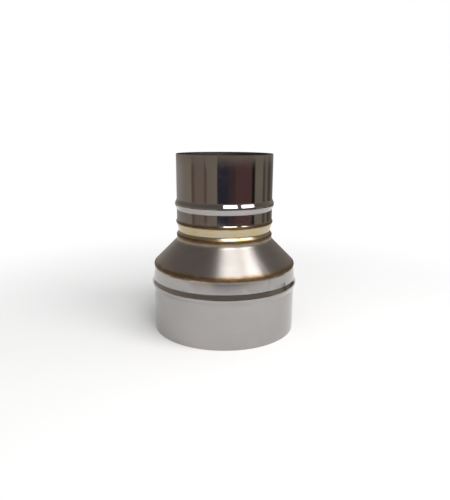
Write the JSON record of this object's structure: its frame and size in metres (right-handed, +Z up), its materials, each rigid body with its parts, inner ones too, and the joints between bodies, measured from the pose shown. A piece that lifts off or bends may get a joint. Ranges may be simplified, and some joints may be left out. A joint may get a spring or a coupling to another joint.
{
  "type": "flue pipe adapter",
  "caption": "Straight single-wall steel reducer that joins a narrow flue pipe above to a wide one below through a steep cone, with a beaded spigot at each end.",
  "frame": {"origin": "middle of the circle of the lower rim, on the surface that the part stands on", "axes": "+Z up along the pipe's axis, from the wide spigot to the narrow one; the part is round, so X and Y are free"},
  "size_m": [0.154, 0.154, 0.1829],
  "materials": {
    "bright_sheet": "bright rolled stainless sheet, lightly handled",
    "satin_cone": "satin, ground from the throat outwards",
    "tinted_ring": "bright, with a straw heat tint between two welds",
    "weld": "rippled weld metal with a dark brown heat tint"
  },
  "bodies": {
    "root": {"base_sleeve": "bright_sheet", "shoulder_weld": "weld", "reducer_cone": "satin_cone", "throat_weld": "weld", "throat_ring": "tinted_ring", "neck_weld": "weld", "neck_sleeve": "bright_sheet"}
  },
  "joints": []
}
